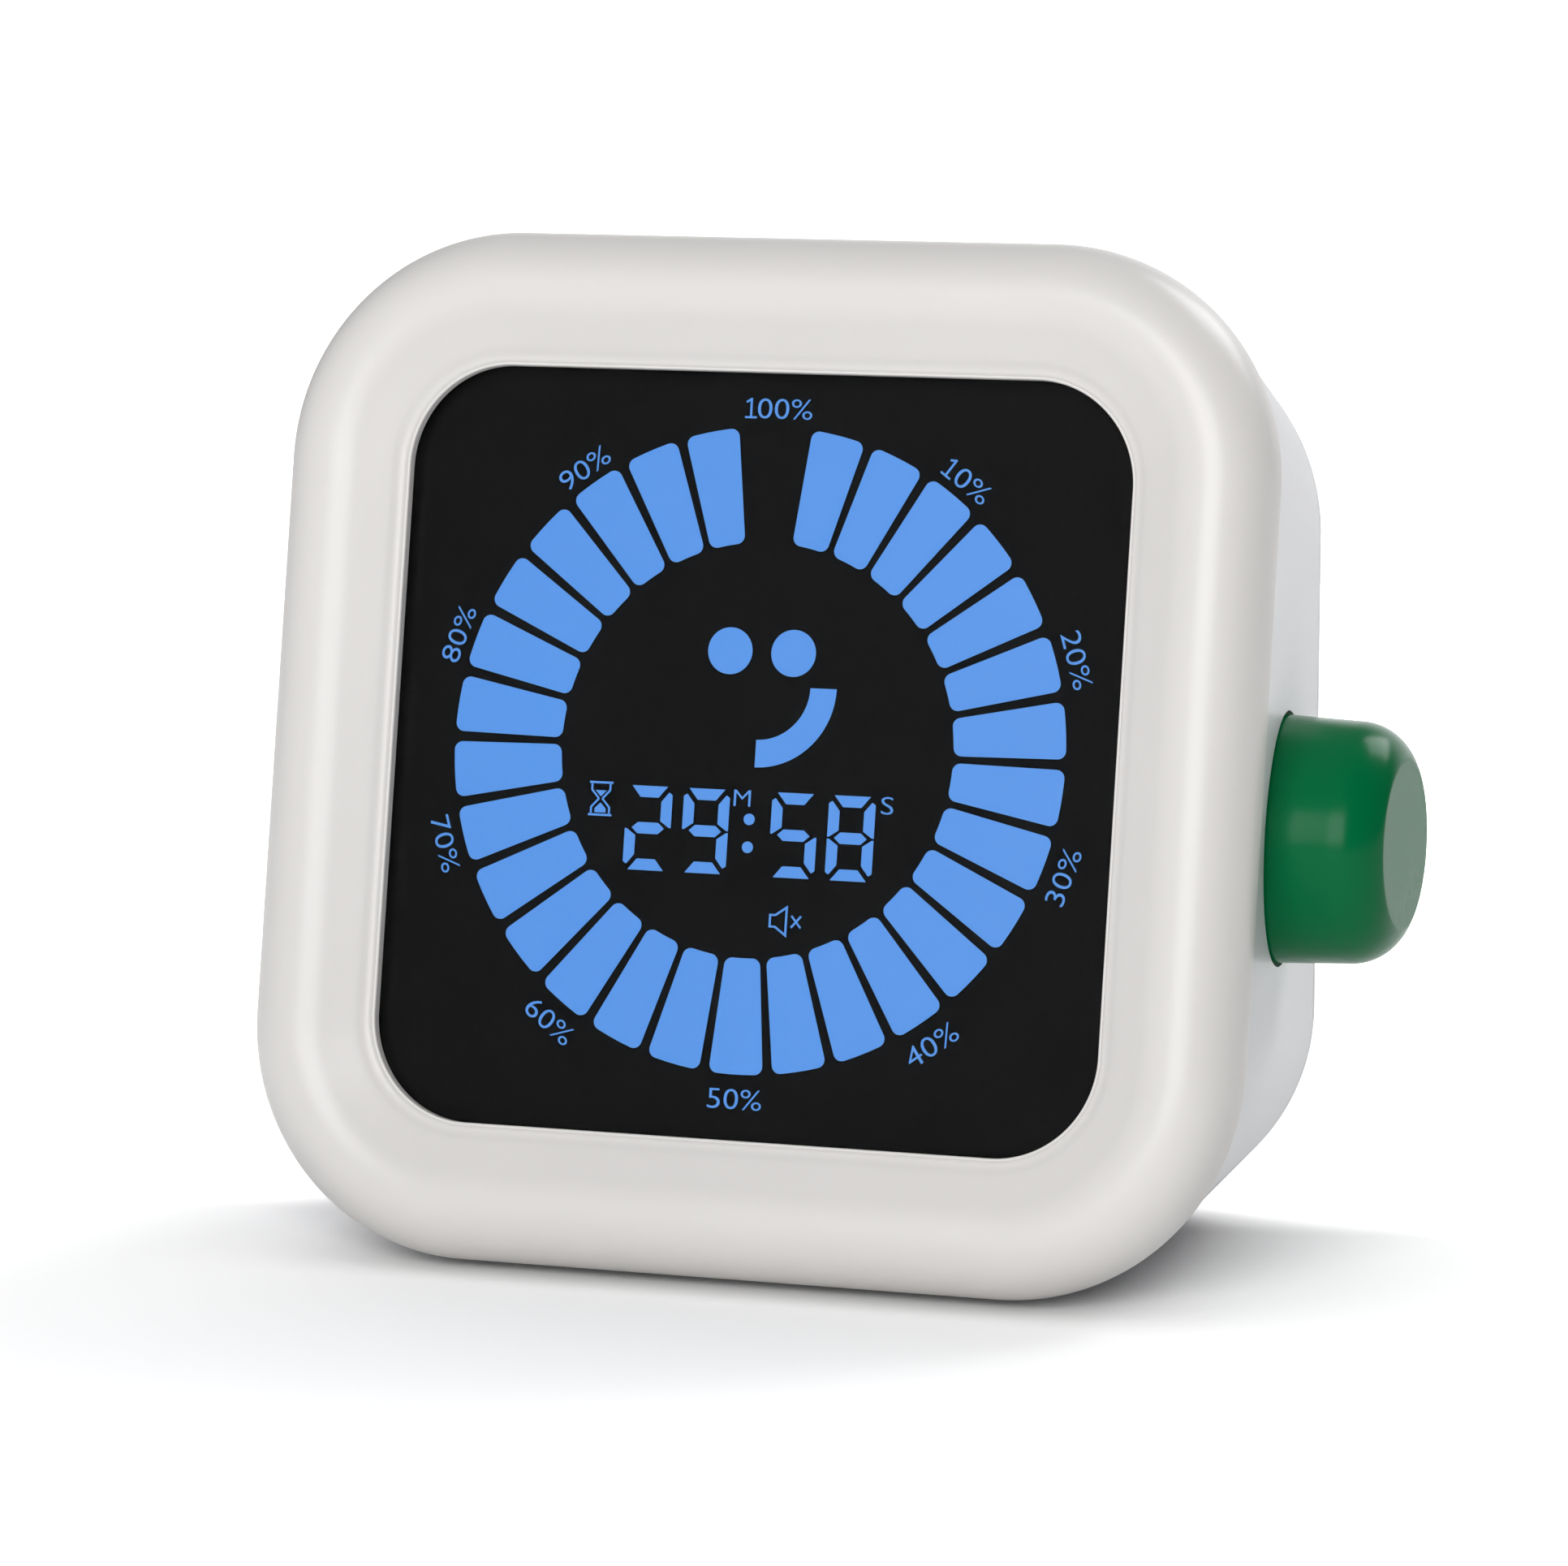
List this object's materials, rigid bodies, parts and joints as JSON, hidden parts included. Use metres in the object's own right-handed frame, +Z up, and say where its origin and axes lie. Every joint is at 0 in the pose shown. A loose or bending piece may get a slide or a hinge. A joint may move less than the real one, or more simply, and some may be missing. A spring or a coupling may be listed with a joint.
{
  "type": "visual countdown timer",
  "caption": "Table-top countdown timer with a tilted square display, a ring of bars round a face and digits, and a turning, pressing side knob.",
  "frame": {"origin": "centre of the base pad's underside, on the table", "axes": "+X towards the knob's side, +Y towards the back cover, +Z up"},
  "size_m": [0.098, 0.0529, 0.0888],
  "materials": {
    "white_gloss": "gloss moulded ABS",
    "white_satin": "semi-gloss moulded ABS",
    "green_plastic": "semi-gloss moulded ABS",
    "smoked_acrylic": "smoked, hard-coated",
    "black_tape": "foam tape",
    "blue_display": "lit blue",
    "clear_glass": "clear",
    "polariser_film": "dark film",
    "white_film": "matt film",
    "clear_acrylic": "polished",
    "tinned_wire": "tinned",
    "led_white": "moulded",
    "circuit_board": "solder mask",
    "black_resin": "moulded",
    "cream_nylon": "moulded",
    "grey_pvc": "extruded",
    "zinc_steel": "zinc-plated",
    "grey_silicone": "moulded silicone",
    "cast_zinc": "as cast",
    "nickel_steel": "nickel-plated",
    "speaker_steel": "painted",
    "speaker_paper": "pressed paper",
    "dark_grey_plastic": "moulded",
    "cell_jacket": "printed film over steel"
  },
  "bodies": {
    "case": {"aaa_cell_1": "cell_jacket", "aaa_cell_2": "cell_jacket", "aaa_cell_3": "cell_jacket", "back_cover": "white_satin", "backlight_leds": "led_white", "backlight_tray": "white_satin", "base_pad": "grey_silicone", "battery_leads": "grey_pvc", "board_components": "black_resin", "board_screws": "zinc_steel", "board_sockets": "cream_nylon", "body_shell": "white_satin", "case_screws": "zinc_steel", "contact_plates": "nickel_steel", "contact_springs": "nickel_steel", "diffuser_sheet": "white_film", "display_segments": "blue_display", "encoder_board": "circuit_board", "encoder_housing": "cast_zinc", "encoder_pins": "tinned_wire", "encoder_screws": "zinc_steel", "frame_screws": "zinc_steel", "front_frame": "white_gloss", "lcd_glass": "clear_glass", "lcd_pins": "tinned_wire", "lcd_polarisers": "polariser_film", "lens_adhesive": "black_tape", "light_guide": "clear_acrylic", "main_board": "circuit_board", "reflector_film": "white_film", "ribbon_cables": "grey_pvc", "speaker_basket": "speaker_steel", "speaker_cone": "speaker_paper", "speaker_leads": "grey_pvc", "switch_board": "circuit_board", "switch_board_screws": "zinc_steel", "tact_switch": "black_resin", "tray_screws": "zinc_steel", "volume_switch": "black_resin", "window_lens": "smoked_acrylic"},
    "rotor": {"encoder_rotor": "black_resin"},
    "knob": {"knob": "green_plastic", "encoder_shaft": "zinc_steel"},
    "brightness_button": {"brightness_button": "grey_silicone", "tact_stem": "dark_grey_plastic"},
    "volume_slider": {"volume_slider": "dark_grey_plastic"},
    "battery_door": {"battery_door": "white_satin"}
  },
  "joints": [
    {"name": "knob_turn", "type": "hinge", "parent": "case", "child": "rotor", "pos_m": [0.0455, 0, 0.0376], "axis": [1, 0, 0], "continuous": true},
    {"name": "knob_push", "type": "slide", "parent": "rotor", "child": "knob", "axis": [-1, 0, 0], "range_m": [0, 0.0005], "stiffness_N_per_m": 4000, "springref_m": -0.0005},
    {"name": "brightness_press", "type": "slide", "parent": "case", "child": "brightness_button", "axis": [0, -1, 0], "range_m": [0, 0.0003], "stiffness_N_per_m": 4000, "springref_m": -0.0003},
    {"name": "volume_slide", "type": "slide", "parent": "case", "child": "volume_slider", "axis": [1, 0, 0], "range_m": [0, 0.004]},
    {"name": "battery_door_lift", "type": "slide", "parent": "case", "child": "battery_door", "axis": [0, 1, 0], "range_m": [0, 0.012]}
  ]
}
